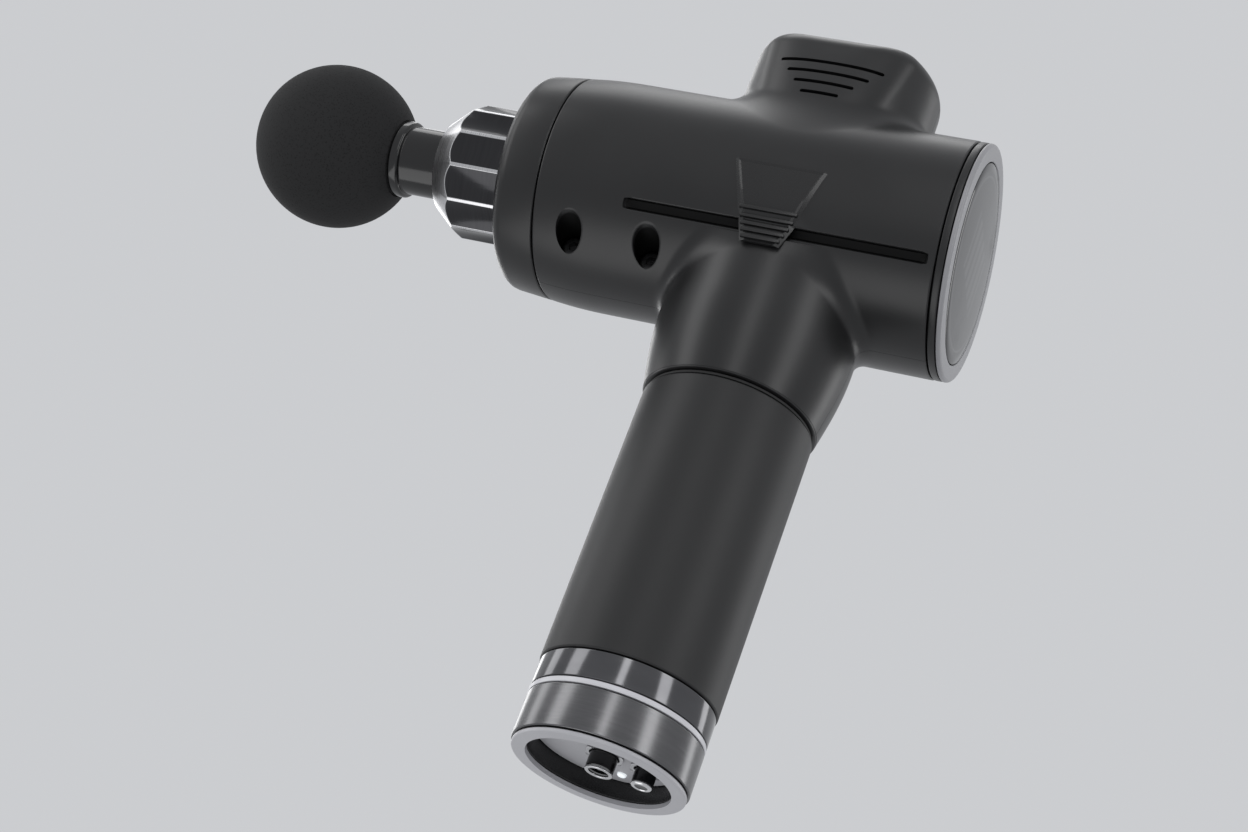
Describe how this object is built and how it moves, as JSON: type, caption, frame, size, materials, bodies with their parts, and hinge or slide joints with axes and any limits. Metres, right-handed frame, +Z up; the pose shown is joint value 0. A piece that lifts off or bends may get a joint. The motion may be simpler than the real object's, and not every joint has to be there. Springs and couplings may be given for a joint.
{
  "type": "massage gun",
  "caption": "T-shaped handheld percussion massager: foam ball head on a crank-driven plunger, fluted nose, motor dome with vents, round grip with a battery and a recessed base.",
  "frame": {"origin": "on the plane that the base rim stands on, under the middle of the object's box; the handle's axis is at X = 0.0571", "axes": "+Z up along the handle, -X along the barrel towards the foam ball, +X towards the rear display, -Y towards the side with the screws"},
  "size_m": [0.2142, 0.067, 0.219],
  "materials": {
    "shell": "satin black moulded shell",
    "trim": "black trim",
    "grip": "soft-touch sleeve",
    "foam": "dense black foam",
    "gloss": "gloss black",
    "rubber": "black rubber",
    "bush": "slippery engineering plastic",
    "chrome": "black chrome mirror",
    "brushed": "dark brushed metal",
    "grey": "light grey plastic",
    "light": "milky light guide",
    "steel": "machined steel",
    "alloy": "machined alloy",
    "winding": "iron core with enamelled copper windings",
    "magnet": "plated magnets and bell",
    "board": "green circuit board",
    "cell": "shrink-wrapped cell",
    "wire": "insulated wires",
    "lens": "dark polished lens"
  },
  "bodies": {
    "body": {"housing_left": "shell", "housing_right": "shell", "housing_screw_1": "steel", "housing_screw_2": "steel", "emblem_left": "trim", "emblem_right": "trim", "front_collar": "shell", "nose_collar": "brushed", "nose_seal": "rubber", "guide_bush": "bush", "motor_mount": "alloy", "shaft_bearing_lower": "steel", "shaft_bearing_upper": "steel", "stator": "winding", "rear_band": "shell", "rear_bezel": "grey", "display_lens": "lens", "control_board": "board", "handle_tube": "trim", "neck_ring": "rubber", "grip_sleeve": "grip", "mirror_ring": "chrome", "light_ring": "light", "base_band": "brushed", "base_rim": "grey", "base_cup": "trim", "base_plate": "grey", "dc_socket": "gloss", "dc_socket_ring": "steel", "dc_nut": "steel", "button_nut": "steel", "button_switch": "trim", "charge_led": "light", "charge_board": "board", "battery_cell_1": "cell", "battery_cell_2": "cell", "battery_cell_3": "cell", "battery_cell_4": "cell", "battery_cell_5": "cell", "battery_cell_6": "cell", "cell_holder_bottom": "trim", "cell_holder_middle": "trim", "cell_holder_top": "trim", "wiring_loom": "wire"},
    "rotor": {"crank_disc": "steel", "motor_shaft": "steel", "rotor_bell": "magnet", "rotor_magnets": "magnet"},
    "piston": {"plunger": "alloy", "wrist_pin": "steel"},
    "rod": {"connecting_rod": "alloy", "big_end_bearing": "steel", "crank_pin": "steel"},
    "head": {"head_stem": "gloss", "head_ring_1": "rubber", "head_ring_2": "rubber", "head_ball": "foam"},
    "button": {"power_button": "gloss"}
  },
  "joints": [
    {"name": "motor_crank", "type": "hinge", "parent": "body", "child": "rotor", "pos_m": [0.0571, 0, 0.1645], "axis": [0, 0, 1], "range_deg": [0, 180]},
    {"name": "plunger_stroke", "type": "slide", "parent": "body", "child": "piston", "axis": [-1, 0, 0], "range_m": [0, 0.012]},
    {"name": "rod_swing", "type": "hinge", "parent": "piston", "child": "rod", "pos_m": [0.0151, 0, 0.1645], "axis": [0, 0, 1], "range_deg": [-7.18, 7.18]},
    {"name": "head_release", "type": "slide", "parent": "piston", "child": "head", "axis": [-1, 0, 0], "range_m": [0, 0.026]},
    {"name": "power_button", "type": "slide", "parent": "body", "child": "button", "axis": [0, 0, 1], "range_m": [0, 0.0012], "stiffness_N_per_m": 1000, "springref_m": -0.0008}
  ],
  "couplings": [
    {"joint": "motor_crank", "follows": "plunger_stroke", "rad_per_m": 261.8}
  ]
}
